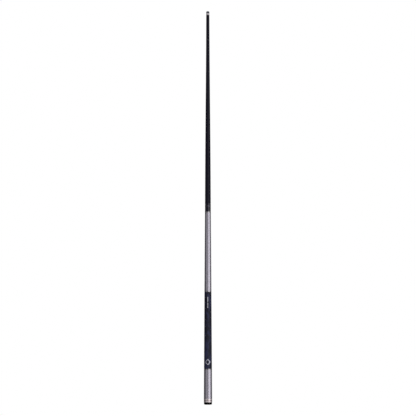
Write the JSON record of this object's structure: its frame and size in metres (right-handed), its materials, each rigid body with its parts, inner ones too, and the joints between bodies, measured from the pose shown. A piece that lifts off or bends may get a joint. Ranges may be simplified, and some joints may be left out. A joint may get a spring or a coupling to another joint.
{
  "type": "pool cue",
  "caption": "Two-piece billiard cue: tapered carbon shaft with ferrule and leather tip, screwed to a leather-wrapped metallic butt with a rubber bumper.",
  "frame": {"origin": "centre of the bumper's flat foot, at the butt's end", "axes": "+Z along the cue's axis from the bumper to the tip; X and Y across it, with -Y towards the side that carries the inlays"},
  "size_m": [0.0312, 0.0312, 1.473],
  "materials": {
    "rubber": "matte",
    "cap_plastic": "satin",
    "accent_metal": "satin",
    "silver_lacquer": "gloss",
    "ring_metal": "polished",
    "wrap_leather": "matte",
    "maple": "matte",
    "steel": "satin",
    "brass": "satin",
    "nylon": "matte",
    "collar_plastic": "gloss",
    "gunmetal": "satin",
    "laminate": "matte",
    "carbon": "satin",
    "foam": "matte",
    "ferrule_plastic": "satin",
    "pad_fibre": "matte",
    "tip_leather": "matte"
  },
  "bodies": {
    "butt": {"butt_cap": "cap_plastic", "cap_accent_ring": "accent_metal", "cap_trim_ring": "cap_plastic", "butt_sleeve": "silver_lacquer", "sleeve_trim_ring": "ring_metal", "handle_core": "maple", "leather_wrap": "wrap_leather", "wrap_trim_ring": "ring_metal", "forearm": "silver_lacquer", "handle_stud": "steel", "butt_trim_ring": "ring_metal", "butt_collar": "collar_plastic", "joint_pin": "steel", "weight_bush": "brass"},
    "bumper": {"bumper": "rubber"},
    "weight_washer": {"weight_washer": "nylon"},
    "weight_bolt": {"weight_bolt": "steel"},
    "shaft_carrier": {"shaft_trim_ring": "gunmetal"},
    "shaft": {"shaft_face_ring": "collar_plastic", "shaft_collar": "collar_plastic", "shaft_plug": "laminate", "shaft_insert": "brass", "shaft_tube": "carbon", "foam_core": "foam", "front_plug": "maple", "ferrule": "ferrule_plastic", "tip_pad": "pad_fibre", "leather_tip": "tip_leather"}
  },
  "joints": [
    {"name": "shaft_lift", "type": "slide", "parent": "butt", "child": "shaft_carrier", "axis": [0, 0, 1], "range_m": [0, 0.02286]},
    {"name": "shaft_turn", "type": "hinge", "parent": "shaft_carrier", "child": "shaft", "pos_m": [0, 0, 0.737], "axis": [0, 0, 1], "range_deg": [0, 3241]},
    {"name": "weight_travel", "type": "slide", "parent": "butt", "child": "weight_washer", "axis": [0, 0, -1], "range_m": [0, 0.00953]},
    {"name": "weight_turn", "type": "hinge", "parent": "weight_washer", "child": "weight_bolt", "pos_m": [0, 0, 0.038], "axis": [0, 0, -1], "range_deg": [0, 2161]},
    {"name": "bumper_pull", "type": "slide", "parent": "butt", "child": "bumper", "axis": [0, 0, -1], "range_m": [0, 0.012]}
  ],
  "couplings": [
    {"joint": "shaft_turn", "follows": "shaft_lift", "rad_per_m": 2473.7},
    {"joint": "weight_turn", "follows": "weight_travel", "rad_per_m": 3957.9}
  ]
}
